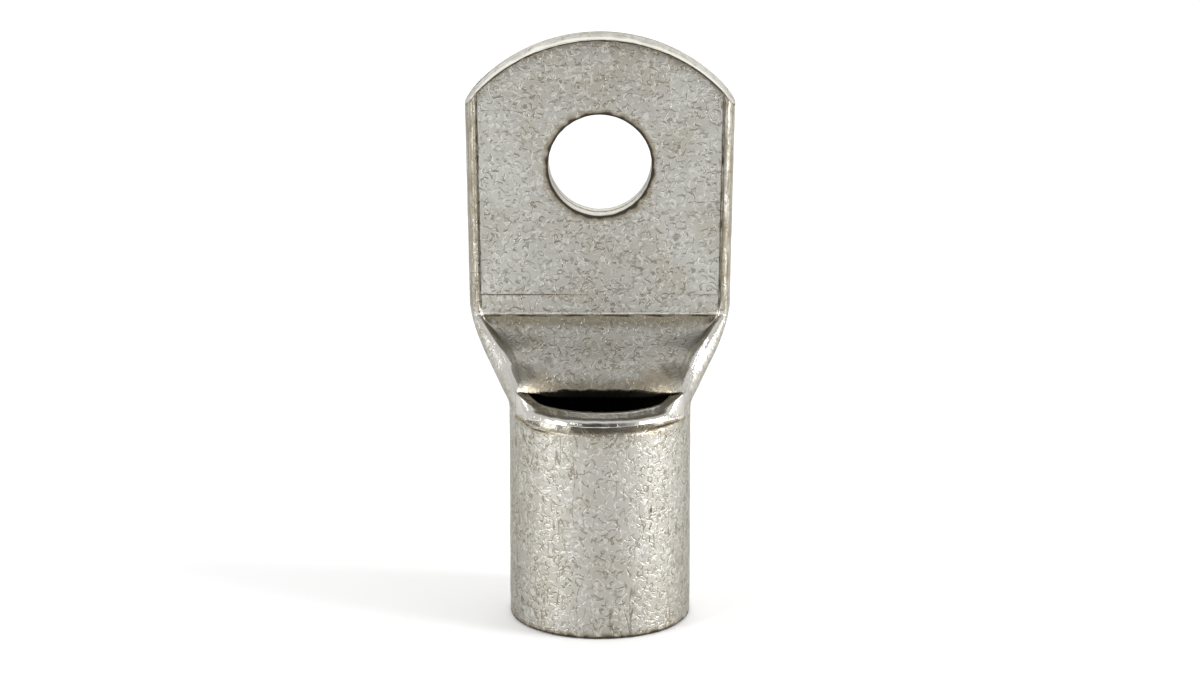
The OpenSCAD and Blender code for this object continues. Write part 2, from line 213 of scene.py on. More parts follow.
def ridge(z, side_x):
    """Crest, nose and foot of the ridge beside the flap.

    It climbs from the tube at the slit's tips up to the palm's side fold.
    """
    q = climb(z)
    crest_x = mix(TUBE_R * math.sin(ROOT_A), side_x - 0.75 * FOLD_W, q)
    crest_y = mix(TUBE_R * math.cos(ROOT_A), CREST_Y, q ** 1.35)
    mid_a, grown, fold = (ROOT_A + TIP_A) / 2, ease(q / 0.4), to_fold(q)
    nose_x = mix(TUBE_R * math.sin(mid_a) * 1.003, crest_x + mix(-0.4, -0.3, fold) * RIDGE_W, grown)
    nose_y = mix(TUBE_R * math.cos(mid_a) * 1.003, crest_y + mix(-0.7, 0.0, fold) * RIDGE_W, grown)
    foot_x = mix(mix(TUBE_R * math.sin(TIP_A), crest_x - RIDGE_W, grown), side_x - FOLD_W, fold)
    foot_y = mix(mix(TUBE_R * math.cos(TIP_A), crest_y + 0.25 * RIDGE_W, grown), FACE_Y, fold)
    return crest_x, crest_y, nose_x, nose_y, foot_x, foot_y


def skin(z):
    """Half outline of the outside at each column's own height z (rows by columns).

    Below the flare it is the round tube. Above, the back and sides mix towards the palm's outline, and the
    front is three arcs: side to ridge crest, crest over the nose to the ridge's foot, and a trough between
    the ridges that is flat in the middle.
    """
    m = opened(z, OPEN_Z, FLAT_Z)
    tube_x, tube_y = TUBE_R * np.sin(ANGLE), TUBE_R * np.cos(ANGLE)
    x, y = mix(tube_x, PALM_X, m), mix(tube_y, PALM_Y, m)
    side_x, side_y = mix(TUBE_R, PALM_X[QUARTER_N], m), mix(0.0, PALM_Y[QUARTER_N], m)
    kx, ky, nx, ny, fx, fy = ridge(z, side_x)
    bend_y = mix((side_y + ky) / 2, ky, climb(z))
    x[:, FOLD] = bezier(side_x[:, FOLD], side_x[:, FOLD], kx[:, FOLD], T_FOLD)
    y[:, FOLD] = bezier(side_y[:, FOLD], bend_y[:, FOLD], ky[:, FOLD], T_FOLD)
    x[:, FLANK] = bezier(kx[:, FLANK], nx[:, FLANK], fx[:, FLANK], T_FLANK)
    y[:, FLANK] = bezier(ky[:, FLANK], ny[:, FLANK], fy[:, FLANK], T_FLANK)
    s = 1 - T_FACE
    mid = flap_middle(z[:, FACE])
    x[:, FACE] = fx[:, FACE] * s
    y[:, FACE] = mid - (mid - fy[:, FACE]) * s ** TROUGH
    press = ease((z - CREASE_Z) / (PRESS_Z - CREASE_Z))
    front = COLUMN > QUARTER_N
    x = np.where(front, mix(x, PALM_X, press), x)
    y = np.where(front, mix(y, PALM_Y, press), y)
    round_tube = 1 - ease((z - BARREL_LEN - 0.3) / 2.4)
    return mix(x, tube_x, round_tube), mix(y, tube_y, round_tube)


def edge_height():
    """Height of the slit's upper edge by column.

    Level in the middle, drooping at the flap's corners, and up at the tips.
    """
    z = np.full(HALF_N + 1, SLIT_Z)
    s = 1 - T_FACE
    z[FACE] += TIP_RISE * s ** 6 - 0.22 * np.exp(-((s - 0.7) / 0.17) ** 2)
    rise = z[TIP_J] - SLIT_Z
    z[QUARTER_N:TIP_J] += rise * ease((COLUMN[QUARTER_N:TIP_J] - QUARTER_N) / (TIP_J - QUARTER_N))
    return z


EDGE = edge_height()
LIP_SHARE = ease((COLUMN - TIP_J) / (FACE_N / 3))
WHOLE = [(j if j <= HALF_N else 2 * HALF_N - j) for j in range(2 * HALF_N)]
SIDE_OF = np.array([1.0] * (HALF_N + 1) + [-1.0] * (HALF_N - 1))
# Station of each column: 0 back flat, 1 corner, 2 side to crest, 3 crest to foot, 4 to 5 across the face
STATION = np.concatenate([T_FLAT, 1 + T_CORNER, 2 + T_FOLD, 3 + T_FLANK, 4 + T_FACE])[WHOLE]


def whole(x, y, z):
    """Full rings from half outlines: the left side repeats the right side with x turned round."""
    x, y, z = np.broadcast_arrays(x, y, z)
    return np.stack([x[:, WHOLE] * SIDE_OF, y[:, WHOLE], z[:, WHOLE]], axis=2)


def hump(v, middle, half):
    """A smooth hump from 0 to 1 and back: exp of minus ((v - middle) / half) squared."""
    return np.exp(-((v - middle) / half) ** 2)


def between(v, a, b, c, d):
    """0 below a, up to 1 by b, and down from c to 0 at d, with smooth steps."""
    return ease((v - a) / (b - a)) * (1 - ease((v - c) / (d - c)))


def marked(grid, burnish_and_highlight=0.0, grime_and_shade=0.0):
    """Grid with two more channels at each point: how burnished or painted with highlight, and how grimy or
    painted with shade, the surface is there.
    """
    b, g = np.broadcast_to(burnish_and_highlight, grid.shape[:-1]), np.broadcast_to(grime_and_shade, grid.shape[:-1])
    return np.concatenate([grid, b[..., None], g[..., None]], axis=-1)


def barrel_rows():
    """Outside below the slit: the barrel, then a rounded lip in front while the sides climb to its tips.

    The lip is a quarter round whose sine and cosine are taken to a power, which makes it fuller.
    """
    tube, under_lip = np.linspace(0.8, BARREL_LEN, 27), np.linspace(BARREL_LEN + 0.25, LIP_Z, 5)
    z = np.repeat(np.concatenate([[MOUTH_R, 0.4], tube, under_lip])[:, None], HALF_N + 1, 1)
    x, y = skin(z)
    lip_t = np.linspace(0, 1, 15)[1:, None]
    a = lip_t * math.pi / 2
    lip_in, lip_up = 1 - np.cos(a) ** LIP_FULL, np.sin(a) ** LIP_FULL
    z_side = mix(LIP_Z, EDGE[np.minimum(COLUMN, TIP_J)], lip_t)
    sx, sy = skin(z_side)
    r = TUBE_R - LIP_R * lip_in * LIP_SHARE
    lip = COLUMN > TIP_J
    lx, ly = np.where(lip, r * np.sin(ANGLE), sx), np.where(lip, r * np.cos(ANGLE), sy)
    lz = mix(z_side, LIP_Z + 0.95 * LIP_R * lip_up, LIP_SHARE)
    grid = np.concatenate([whole(x, y, z), whole(lx, ly, lz)])
    gz, gx, front = grid[..., 2], grid[..., 0], STATION > 4
    share = LIP_SHARE[WHOLE]
    rag = 0.05 * ripple(gx[-1], 31, 0.9) + 0.04 * ripple(gx[-1], 32, 0.35)
    for row, weight in ((-1, 1.0), (-2, 0.7), (-3, 0.3)):
        grid[row, :, 2] += weight * rag * share
    line = LIP_Z - 0.25 + 0.12 * ripple(gx, 33, 3.0) - 0.4 * hump(gx, -5.5, 2.2)
    tips = between(STATION, 2.75, 3.2, 3.9, 4.1) * ease((gz - 23.6) / 1.4)
    burnish_and_highlight = np.where(front, ease((gz - line) / 0.35), tips)
    outer = 0.2 + 0.6 * ease((np.abs(gx) - 4.0) / 2.5)
    grime_and_shade = outer * hump(gz, line - 0.12, 0.13) * ease((STATION - 3.6) / 0.4)
    grime_and_shade = grime_and_shade + 0.22 * hump(gz, line - 0.5, 0.8) * ease((STATION - 3.5) / 0.8)
    # painted shade along the barrel's bottom edge, where it stands on the floor
    along = np.arctan2(gx, -grid[..., 1]) * 9.7
    darkening = 0.25 + 0.2 * ripple(along, 34, 1.5)
    grime_and_shade = np.maximum(grime_and_shade, 0.9 * (1 - ease((gz - 0.3) / darkening)))
    return marked(grid, burnish_and_highlight, grime_and_shade)


def spread_out(x, z):
    """The palm's sides lean outwards evenly above the press line."""
    return x * (1 + SPREAD * np.maximum(z - PRESS_Z, 0) / FLAT_HW)


def neck_rows():
    """Outside above the slit: the flap and ridges up to the crease, then the strip past the press line."""
    t = np.concatenate([[0, 0.006], np.linspace(0.015, 0.965, 54), [0.98, 0.99, 0.996, 1.0]])[:, None]
    z = mix(EDGE, CREASE_Z, t)
    x, y = skin(z)
    up = np.repeat(STRIP[:, None] + CREASE_Z, HALF_N + 1, 1)
    ux, uy = skin(up)
    grid = np.concatenate([whole(x, y, z), whole(spread_out(ux, up), uy, up)])
    gx = grid[..., 0]
    torn = 0.05 * ripple(gx[0], 41, 1.6) + 0.035 * ripple(gx[0], 42, 0.4)
    rag = torn * ease((STATION - 4.02) / 0.13)
    for row, weight in ((0, 1.0), (1, 1.0), (2, 0.7), (3, 0.4)):
        grid[row, :, 2] += weight * rag
    return grid


def end_height(x, y):
    """Top of the palm over x: the sheared arc, whose radius shrinks with the draft towards the front face."""
    r = END_R - END_DRAFT * (BACK_Y - y) / (BACK_Y - CREST_Y)
    return END_Z + np.sqrt(r * r - np.minimum(np.abs(x), r * 0.999) ** 2)


def palm_rows():
    """Palm from the press line up: level rows past the hole, then rows that bend into the end's arc."""
    low = np.linspace(CREASE_Z + STRIP[-1], HOLE_LOW, 17)[1:]
    mid = np.linspace(HOLE_LOW, HOLE_HIGH, 2 * HOLE_J + 1)[1:]
    level = np.repeat(np.concatenate([low, mid])[:, None], HALF_N + 1, 1)
    x, y = spread_out(PALM_X, level), np.repeat(PALM_Y[None], len(level), 0)
    top_x = PALM_X
    for _ in range(3):
        top_z = end_height(top_x, PALM_Y)
        top_x = spread_out(PALM_X, top_z)
    room = top_z - HOLE_HIGH
    steps = END_STEPS[:, None] * np.minimum(1, 0.6 * room / END_STEPS[0])
    s = np.linspace(0, 1, 15)[1:-1, None]
    z = np.concatenate([mix(HOLE_HIGH, top_z - steps[0], s), top_z - steps])
    zx, zy = spread_out(PALM_X, z), np.repeat(PALM_Y[None], len(z), 0)
    return np.concatenate([whole(x, y, level), whole(zx, zy, z)]), len(low)


def flap_light_and_shade(x, z, on_flap):
    """Painted highlight at the flap's sides, and painted shade in its lower corners and along its cut edge.
    """
    bright = sum(hump(x, middle, half) for middle, half in FLAP_HIGHLIGHTS)
    burnish_and_highlight = 0.8 * on_flap * bright * hump(z, 26.6, 1.5)
    corner_shade = sum(s * hump(x, mx, hx) * hump(z, mz, hz) for s, mx, hx, mz, hz in FLAP_SHADES)
    return burnish_and_highlight, corner_shade * on_flap + 0.42 * on_flap * (1 - ease((z - SLIT_Z) / 1.6))


def crease_light_and_shade(x, z, on_face):
    """Dark press line, painted shade in the crease and below it, and a painted highlight just above the
    crease.
    """
    line = 0.5 + 0.45 * np.tanh((-3.0 - x) / 2.5) + 0.35 * hump(x, 11.5, 2.0) + 0.12 * ripple(x, 58, 1.2)
    press_line = 1.1 * np.clip(line, 0.14, 1) * hump(z, PRESS_Z, 0.07)
    crease_z = CREASE_Z - 0.12 + 0.05 * ripple(x, 60, 4.0)
    crease = (0.95 + 0.2 * ripple(x, 62, 3.0)) * hump(z, crease_z, 0.13)
    below = 0.45 * ease((z - CREASE_Z + 1.9) / 1.6) * (z < CREASE_Z)
    burnish_and_highlight = 0.9 * hump(z, CREASE_Z + 0.12, 0.09) * on_face
    return burnish_and_highlight, np.maximum.reduce([press_line, crease, below]) * on_face


def work_outside(grid):
    """Marks of the pressing and shearing on the outside above the slit, and where it carries burnish, painted
    highlight, grime and painted shade.

    Side folds wander with height, the face rolls over towards the sheared end by exp of minus distance, the
    flap bows as a sine of its height, and a ragged burr stands on the sheared edge.
    """
    x, z = grid[..., 0], grid[..., 2]
    right = x > 0
    wander = np.where(right, ripple(z, 51, 5.0), ripple(z, 52, 5.0))
    jag = np.where(right, ripple(z, 53, 2.3), ripple(z, 54, 2.6))
    on_face = ease((STATION - 3.9) / 0.1)
    on_flap = ease((STATION - 3.95) / 0.25) * (z < CREASE_Z)
    from_end = np.maximum(end_height(x, FACE_Y) - z, 0)
    high = ease((z - END_MARK_Z) / 4)

    fold = between(STATION, 2.25, 2.9, 3.3, 3.95) * ease((z - FOLD_MARK_Z) / 2)
    crevice = between(STATION, 3.45, 3.75, 3.92, 4.0) * ease((z - FOLD_MARK_Z - 0.5) / 1.5)
    middle = 1 - np.minimum(np.abs(x) / 8.5, 1) ** 2
    burr = (BURR + 0.05 * ripple(x, 55, 2.2) + 0.05 * ripple(x, 56, 0.5)) * np.exp(-(from_end / 0.045) ** 2)
    grid[..., 1] += fold * (FOLD_WAVE * wander + FOLD_JAG * jag) + CREVICE * crevice
    grid[..., 1] += ROLL * on_face * np.exp(-from_end / 0.5) * high
    grid[..., 1] -= BOW * np.sin(2 * math.pi * climb(z)) * middle * on_flap
    grid[..., 1] -= burr * ease((STATION - 2.9) / 0.5)

    on_neck = 1 - ease((z - CREASE_Z - 0.1) / 0.5)
    ridges = between(STATION, 2.62, 3.05, 3.85, 4.2 + 0.04 * ripple(z, 57, 2.0)) * on_neck
    flap_highlight, flap_shade = flap_light_and_shade(x, z, on_flap)
    crease_highlight, crease_shade_and_press_line = crease_light_and_shade(x, z, on_face)
    # painted shade in the crevice beside each side fold
    in_crevice = (0.5 + 0.3 * jag) * between(STATION, 3.45, 3.75, 3.95, 4.01) * ease(z - FOLD_MARK_Z - 0.5)
    on_fold = (0.36 + 0.1 * wander) * between(STATION, 2.1, 2.5, 3.2, 3.6) * ease(z - FOLD_MARK_Z - 0.8)
    # painted shade: dark line just under the burr at the sheared edge
    end_line = (0.95 + 0.3 * ripple(x, 59, 1.5)) * ease((STATION - 1.95) / 0.1)
    end_line = end_line * np.exp(-(from_end / 0.16) ** 2) * high
    burnish_and_highlight = np.maximum.reduce([ridges, flap_highlight, crease_highlight])
    grime_and_shade = np.maximum.reduce([flap_shade, crease_shade_and_press_line, in_crevice, on_fold, end_line])
    # painted shade on the face, fading over about a millimetre below the sheared edge
    grime_and_shade = grime_and_shade + 0.30 * on_face * np.exp(-from_end / 1.1) * high
    return marked(grid, burnish_and_highlight, np.clip(grime_and_shade, 0, 1.2))


def lip_cut(edge_ring):
    """Cut face of the lip, from the rounding in to the bore."""
    t = np.linspace(0, 1, 6)[:, None, None]
    z1 = mix(CAVITY_Z, SLIT_Z - LIP_DROP, LIP_SHARE)
    inner = whole((BORE_R * np.sin(BORE_ANGLE))[None], (BORE_R * np.cos(BORE_ANGLE))[None], z1[None])[0]
    grid = mix(edge_ring[None, :, :3], inner[None], t)
    olive = 0.08 + 0.34 * ease((-2.0 - grid[..., 0]) / 3.0)
    return marked(grid, 0.75, olive + 0.5 * ease((t[..., 0] - 0.75) / 0.25))


def bore_angles():
    """Angle round the bore of each column; the slit's tips are further back than outside."""
    tip = math.acos(math.cos(TIP_A) + WALL * 0.71 / BORE_R)
    a = np.zeros(HALF_N + 1)
    a[:QUARTER_N] = COLUMN[:QUARTER_N] / QUARTER_N * math.pi / 2
    a[QUARTER_N:TIP_J] = mix(math.pi / 2, tip, (COLUMN[QUARTER_N:TIP_J] - QUARTER_N) / (TIP_J - QUARTER_N))
    a[FACE] = mix(tip, math.pi, T_FACE)
    return a


BORE_ANGLE = bore_angles()


def cavity(z):
    """Half outline of the hollow above the bore at height z.

    The outside moved in by the wall, until it closes between the palm's layers.
    """
    m = opened(z, OPEN_Z, CREASE_Z)
    u = np.minimum(COLUMN / QUARTER_N, 1)
    x = mix(BORE_R * np.sin(BORE_ANGLE), CAVITY_HW * u, m)
    y = mix(BORE_R * np.cos(BORE_ANGLE), SEAM_Y, m)
    side_x, side_y = x[:, QUARTER_N][:, None], y[:, QUARTER_N][:, None]
    upper = z + DROP
    side_up = mix(TUBE_R, PALM_X[QUARTER_N], opened(upper, OPEN_Z, FLAT_Z))
    fx, fy = ridge(upper, side_up)[4:]
    narrow = 1 - 0.75 * WALL / fx
    s = 1 - T_FACE
    step = mix(DROP, WALL, np.clip((upper - CREASE_Z) / DROP, 0, 1))
    mid = flap_middle(upper)
    gx = np.minimum(fx * narrow, CAVITY_HW - 0.6) * s
    gy = np.minimum(mid - (mid - fy) * (s * narrow) ** HOLLOW_TROUGH + step, SEAM_Y - 0.06)
    t = (COLUMN[QUARTER_N:TIP_J] - QUARTER_N) / (TIP_J - QUARTER_N)
    x[:, QUARTER_N:TIP_J] = bezier(side_x, side_x, gx[:, :1], t)
    y[:, QUARTER_N:TIP_J] = bezier(side_y, mix(side_y, gy[:, :1], 0.7), gy[:, :1], t)
    x[:, FACE], y[:, FACE] = gx, gy
    return x, y


def cavity_edge():
    """Hollow's lowest ring.

    On the bore at the sides, and along the inner edge of the flap's cut face in front.
    """
    z = np.full((1, HALF_N + 1), CAVITY_Z)
    x, y = cavity(z[:, :1])
    bx, by = BORE_R * np.sin(BORE_ANGLE), BORE_R * np.cos(BORE_ANGLE)
    fade = (TIP_J - COLUMN) / (TIP_J - QUARTER_N)
    side = (COLUMN > QUARTER_N) & (COLUMN <= TIP_J)
    x = np.where(side, bx + (x[:, QUARTER_N] - bx[QUARTER_N]) * fade, x)
    y = np.where(side, by + (y[:, QUARTER_N] - by[QUARTER_N]) * fade, y)
    tip_x, tip_y = bx[TIP_J], by[TIP_J]
    s = (1 - T_FACE)[1:]
    q = s * tip_x / SLIT_HW
    free_z = SLIT_Z + TIP_RISE * q ** 3
    fy = ridge(free_z, np.full_like(free_z, TUBE_R + 0.5))[5]
    mid = flap_middle(free_z)
    free_y = mid - (mid - fy) * q ** HOLLOW_TROUGH + DROP
    held = s ** 3
    x[0, TIP_J + 1:] = tip_x * s
    y[0, TIP_J + 1:] = mix(free_y, tip_y, held)
    z[0, TIP_J + 1:] = mix(free_z - DROP, CAVITY_Z, held)
    return whole(x, y, z)


def inside_shade(z):
    """The inside is painted dull and dark as shade deeper in, and lighter near the mouth."""
    return 0.35 + 0.85 * ease((z - 2) / 12)


def bore_rows():
    """Bore, from the lip's inner edge down to the mouth, then its rounded rim and end face to the outside."""
    top = np.where(COLUMN > TIP_J, mix(CAVITY_Z, SLIT_Z - LIP_DROP, LIP_SHARE), CAVITY_Z)
    edge = cavity_edge()[0][:HALF_N + 1]
    bx, by = BORE_R * np.sin(BORE_ANGLE), BORE_R * np.cos(BORE_ANGLE)
    low = COLUMN <= TIP_J
    tx, ty = np.where(low, edge[:, 0], bx), np.where(low, edge[:, 1], by)
    t = np.concatenate([[0], np.linspace(0.2, 1, 5)])[:, None]
    upper = whole(mix(tx, bx, t), mix(ty, by, t), mix(top, LIP_Z - 0.5, t))
    lower = whole(bx[None], by[None], np.linspace(LIP_Z - 0.5, MOUTH_R, 16)[1:, None])
    inside = np.concatenate([upper, lower])
    a = np.linspace(0, math.pi / 2, 4)[1:]
    inner, outer = BORE_R + MOUTH_R, TUBE_R - MOUTH_R
    rim = [(inner - MOUTH_R * np.cos(v), MOUTH_R * (1 - np.sin(v)), 0.0) for v in a]
    rim += [(mix(inner, outer, k), 0.0, k) for k in (0.2, 0.4, 0.6, 0.8, 1.0)]
    rim += [(outer + MOUTH_R * np.sin(v), MOUTH_R * (1 - np.cos(v)), 1.0) for v in a]
    r, z, k = np.array(rim).T[:, :, None]
    angle = mix(BORE_ANGLE, ANGLE, k)
    mouth = whole(r * np.sin(angle), r * np.cos(angle), z)
    inside = marked(inside, 0.0, inside_shade(inside[..., 2]))
    # painted shade on the mouth's rounded rim and end, darker towards the outside
    return np.concatenate([inside, marked(mouth, 0.3, 0.35 + 0.55 * k)])


def cavity_rows():
    """Hollow from the slit up to where the two layers of the palm meet."""
    zs = np.concatenate([np.linspace(CAVITY_Z, CREASE_Z, 25)[1:], [mix(CREASE_Z, PRESS_Z, 0.5)]])
    x, y = cavity(zs[:, None])
    # painted shade: the hollow is painted near black all over
    return marked(np.concatenate([cavity_edge(), whole(x, y, zs[:, None])]), 0.0, 1.2)


def quads(rows, cols, closed):
    """Faces of a grid of points, rows by columns, joined round where closed, wound to face outwards."""
    i, j = np.meshgrid(np.arange(rows - 1), np.arange(cols if closed else cols - 1), indexing="ij")
    k = (j + 1) % cols
    low, high = i * cols, (i + 1) * cols
    return np.stack([low + j, high + j, high + k, low + k], axis=2).reshape(-1, 4)


class Shell:
    """Gathers grids of points and welds those that share a place."""

    def __init__(self):
        self.points, self.faces, self.count = [], [], 0

    def add(self, grid, closed=False, flip=False, keep=None):
        """Take in a grid of points, turned over where flip is set, with only the faces to keep."""
        f = quads(*grid.shape[:2], closed)
        if keep is not None:
            f = f[keep.reshape(-1)]
        self.faces.append((f[:, ::-1] if flip else f) + self.count)
        self.points.append(grid.reshape(-1, grid.shape[2]))
        self.count += grid.shape[0] * grid.shape[1]

    def weld(self):
        """Points and faces of everything added, with points that share a place made one."""
        p, f = np.concatenate(self.points), np.concatenate(self.faces)
        _, first, place = np.unique(np.round(p[:, :3], 5), axis=0, return_index=True, return_inverse=True)
        return p[first], place.reshape(-1)[f]


def hole_block(rows, first_row, front):
    """Ring of grid points round the stud hole, in order round it."""
    mid = HALF_N if front else 0
    span = 2 * HOLE_J
    cols = (mid + np.arange(-HOLE_J, HOLE_J + 1)) % (2 * HALF_N)
    levels = first_row + np.arange(span + 1)
    low, high = np.full(span, levels[0]), np.full(span, levels[-1])
    right, left = np.full(span, cols[-1]), np.full(span, cols[0])
    r = np.concatenate([low, levels[:-1], high, levels[:0:-1]])
    c = np.concatenate([cols[:-1], right, cols[:0:-1], left])
    return rows[r, c]


def hole_rings(edge, y, roll):
    """Palm's face round the hole: rings that go from the square block to the circle at the same bearings.

    The face rolls over towards the rim: depth falls as roll times exp of minus distance.
    """
    a = np.arctan2(edge[:, 2] - STUD_Z, edge[:, 0])
    order = np.argsort(a)
    a, edge = a[order], edge[order]
    circle = np.stack([STUD_R * np.cos(a), np.full_like(a, y), STUD_Z + STUD_R * np.sin(a)], axis=1)
    reach = np.hypot(edge[:, 0], edge[:, 2] - STUD_Z) - STUD_R
    d = np.array([0.62, 0.46, 0.34, 0.25, 0.18, 0.13])[:, None] * np.minimum(1, reach / 1.4)
    t = np.concatenate([np.linspace(0, 0.87, 8)[:, None] * (1 - d[:1] / reach), 1 - d / reach])
    grid = mix(edge[None, :, :3], circle[None], t[..., None])
    away = reach * (1 - t)
    grid[..., 1] += roll * (np.exp(-away / 0.35) - np.exp(-reach / 0.35)) * ease(t * 3)
    ragged = 1 + 0.35 * ripple(a * STUD_R, 61, 1.2)
    grime_and_shade = 0.95 * np.exp(-(away / (0.45 * ragged)) ** 2) + 0.3 * np.exp(-away / 1.0)
    beside = mix(edge[None, :, 4], 0, np.minimum(t * 3, 1))
    return marked(grid, 0.0, np.maximum(grime_and_shade * ease(t * 3), beside)), a


def hole_wall(front_a, back_a):
    """Wall of the stud hole from the front rim to the back rim, with the line between the two layers."""
    layers = [(-0.2, 0.0), (-0.08, 0.02), (0.0, 0.10), (0.08, 0.02), (0.2, 0.0)]
    profile = [(FACE_Y + 0.1, 0.05), (FACE_Y + 0.13, 0.02), (FACE_Y + 0.2, 0.0), (6.3, 0.0), (7.0, 0.0)]
    profile += [(LAYERS_Y + up, out) for up, out in layers]
    profile += [(8.9, 0.0), (BACK_Y - 0.1, 0.0), (BACK_Y - 0.04, 0.02), (BACK_Y, 0.05)]
    y, out = np.array(profile).T[:, :, None]
    a = mix(front_a, back_a, (y - FACE_Y) / (BACK_Y - FACE_Y))
    r = STUD_R + out
    grid = np.stack([r * np.cos(a), np.broadcast_to(y, a.shape), STUD_Z + r * np.sin(a)], 2)
    grime_and_shade = 0.7 * hump(y, LAYERS_Y, 0.12) + 1.1 * hump(y, FACE_Y + 0.1, 0.45) + 0.3 * hump(y, BACK_Y, 0.2)
    return marked(grid, 0.6 - 0.5 * hump(y, LAYERS_Y, 0.3), grime_and_shade)


def end_face(back_row, front_row):
    """Sheared end from the back edge to the front edge.

    Painted highlight over its front half and painted shade over its duller back half, a dark outline along
    the back edge, a brown line near the front one, and painted shade in a dark line at the front edge.
    """
    back_half = [0, 0.02, 0.05, 0.1, 0.2, 0.35, 0.5]
    front_half = [0.65, 0.75, 0.8, 0.84, 0.88, 0.92, 0.95, 0.98, 1.0]
    t = np.array(back_half + front_half)[:, None]
    grid = mix(back_row[None, :, :3], front_row[None, :, :3], t[..., None])
    x = grid[..., 0]
    back_edge = 0.75 * (1 - ease(t / 0.06))
    brown = (0.6 + 0.3 * ripple(x, 72, 2.0)) * hump(t, 0.86 + 0.02 * ripple(x, 73, 3.0), 0.035)
    # painted shade: dark line along the front edge, under the burr
    front_edge = brown + 0.9 * ease((t - 0.95) / 0.05)
    # painted highlight towards the front and painted shade towards the back
    burnish_and_highlight = mix(0.05, 0.9, ease((t - 0.4 - 0.12 * ripple(x, 71, 4.0)) / 0.3))
    return marked(grid, burnish_and_highlight, np.maximum(back_edge, front_edge))


def lug_mesh():
    """Whole lug as one closed surface, with its burnish and painted highlight, and its grime and painted
    shade.
    """
    shell = Shell()
    lower = barrel_rows()
    upper = neck_rows()
    palm, low_rows = palm_rows()
    outside = work_outside(np.concatenate([upper, palm]))
    ring = 2 * HALF_N
    from_front = np.abs(np.arange(ring) - HALF_N)
    sides = (from_front >= FACE_N)[:, None]
    outside[0] = np.where(sides, lower[-1], outside[0])
    first = len(upper) + low_rows - 1
    keep = np.ones((len(outside) - 1, ring), bool)
    for c in range(-HOLE_J, HOLE_J):
        keep[first:first + 2 * HOLE_J, [(c + HALF_N) % ring, c % ring]] = False
    shell.add(lower, closed=True)
    shell.add(outside, closed=True, keep=keep)
    front, front_a = hole_rings(hole_block(outside, first, True), FACE_Y, ROLL)
    back, back_a = hole_rings(hole_block(outside, first, False), BACK_Y, 0.0)
    shell.add(np.concatenate([front, hole_wall(front_a, back_a), back[::-1]]), closed=True, flip=True)
    slit = slice(TIP_J, HALF_N + FACE_N + 1)
    shell.add(lip_cut(lower[-1])[:, slit])
    t = np.linspace(0, 1, 6)[:, None, None]
    cut = mix(outside[0, :, :3][None], cavity_edge(), t)
    # painted shade on the flap's cut face, darker towards the hollow
    shell.add(marked(cut, 0.0, 0.8 + 0.5 * t[..., 0])[:, slit], flip=True)
    bore = bore_rows()
    shell.add(bore, closed=True)
    hollow = cavity_rows()
    hollow[0] = np.where(sides, bore[0], hollow[0])
    shell.add(hollow, closed=True, flip=True)
    for side in (1, -1):
        j = np.arange(QUARTER_N + 1)
        back_j, front_j = (side * j) % ring, (side * (HALF_N - j)) % ring
        shell.add(end_face(outside[-1][back_j], outside[-1][front_j]), flip=side < 0)
        shell.add(np.stack([hollow[-1][back_j], hollow[-1][front_j]]), flip=side > 0)
    return shell.weld()


def outward(points, faces):
    """Unit normal at each point: the sum of its faces' area normals."""
    a, b, c, d = (points[faces[:, k]] for k in range(4))
    n = np.cross(c - a, d - b)
    total = np.zeros_like(points)
    for k in range(4):
        np.add.at(total, faces[:, k], n)
    return total / np.maximum(np.linalg.norm(total, axis=1, keepdims=True), 1e-12)


def hand_worn(points, faces, channels):
    """Shallow waves and dents over the outside: each point moves inwards by a few hundredths of a millimetre.

    The depth is a sum of sines in random directions, and more where the burnish-and-highlight channel is
    high.
    """
    x, z = points[:, 0], points[:, 2]
    rng = np.random.default_rng(5)
    wave = np.zeros(len(points))
    for pitch, size in ((9.0, 1.0), (5.0, 0.6), (2.6, 0.35), (1.4, 0.18)):
        for _ in range(5):
            way = rng.normal(size=3)
            way = way / np.linalg.norm(way) * 2 * math.pi / pitch
            wave += size / 5 * np.sin(points @ way + rng.uniform(0, 6.3))
    depth = WORN * (1 + wave) + 0.02 * channels[:, 0] * (1 + ripple(z * 1.3 + x, 81, 1.6))
    return points - outward(points, faces) * np.clip(depth, 0, None)[:, None]


def corners(faces):
    """Quads and triangles of the welded grids, as lists of corners.

    A corner that equals the next one is left out once, and a face left with fewer than three is dropped.
    """
    same = faces == np.roll(faces, -1, axis=1)
    count = same.sum(axis=1)
    threes, twice = faces[count == 1], same[count == 1]
    return faces[count == 0].tolist() + threes[~twice].reshape(-1, 3).tolist()


def make_piece(name, points, faces, channels):
    """Smooth mesh object in metres from points in millimetres, with its burnish and painted highlight, and
    its grime and painted shade, as attributes.
    """
    me = bpy.data.meshes.new(name)
    me.from_pydata((points * 0.001).tolist(), [], corners(faces))
    for k, label in enumerate(("burnish_and_highlight", "grime_and_shade")):
        values = me.attributes.new(label, "FLOAT", "POINT").data
        values.foreach_set("value", channels[:, k].astype(np.float32))
    me.shade_smooth()
    me.update()
    piece = bpy.data.objects.new(name, me)
    bpy.context.collection.objects.link(piece)
    return piece


